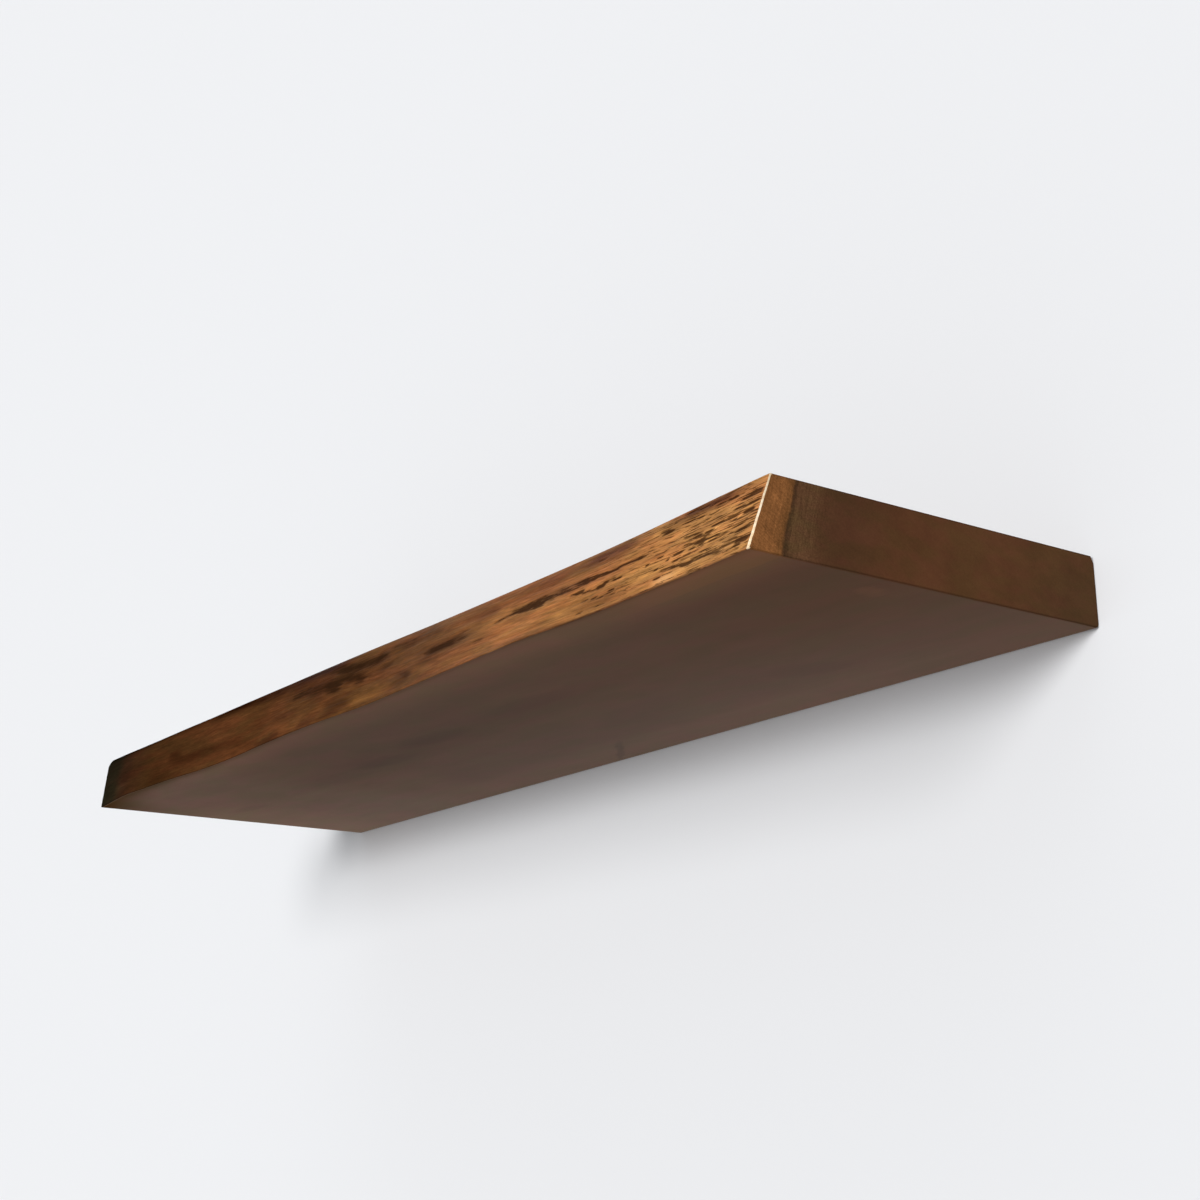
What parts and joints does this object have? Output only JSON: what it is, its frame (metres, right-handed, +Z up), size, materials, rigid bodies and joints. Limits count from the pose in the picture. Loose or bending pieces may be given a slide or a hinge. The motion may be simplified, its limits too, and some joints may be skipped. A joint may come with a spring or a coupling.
{
  "type": "floating wall shelf",
  "caption": "Thick live-edge hardwood wall shelf that slides on to the welded rods of a hidden steel bracket screwed to the wall.",
  "frame": {"origin": "middle of the bracket bar's rear face, which lies on the wall", "axes": "+X along the shelf, to its right end seen from the room; +Y into the wall; +Z up"},
  "size_m": [0.914, 0.3319, 0.044],
  "materials": {
    "hardwood": "oiled dark hardwood, satin, with a golden-brown live edge",
    "coated_steel": "black powder coat, fine texture",
    "zinc_screw": "bright zinc plate",
    "nylon_plug": "moulded grey nylon"
  },
  "bodies": {
    "bracket": {"wall_bar": "coated_steel", "support_rod_1": "coated_steel", "support_rod_2": "coated_steel", "support_rod_3": "coated_steel", "support_rod_4": "coated_steel", "rod_weld_1": "coated_steel", "rod_weld_2": "coated_steel", "rod_weld_3": "coated_steel", "rod_weld_4": "coated_steel", "wall_screw_1": "zinc_screw", "wall_screw_2": "zinc_screw", "wall_screw_3": "zinc_screw", "wall_screw_4": "zinc_screw", "wall_screw_5": "zinc_screw", "wall_screw_6": "zinc_screw", "wall_plug_1": "nylon_plug", "wall_plug_2": "nylon_plug", "wall_plug_3": "nylon_plug", "wall_plug_4": "nylon_plug", "wall_plug_5": "nylon_plug", "wall_plug_6": "nylon_plug"},
    "shelf": {"live_edge_slab": "hardwood"}
  },
  "joints": [
    {"name": "slab_slide", "type": "slide", "parent": "bracket", "child": "shelf", "axis": [0, -1, 0], "range_m": [0, 0.2]}
  ]
}
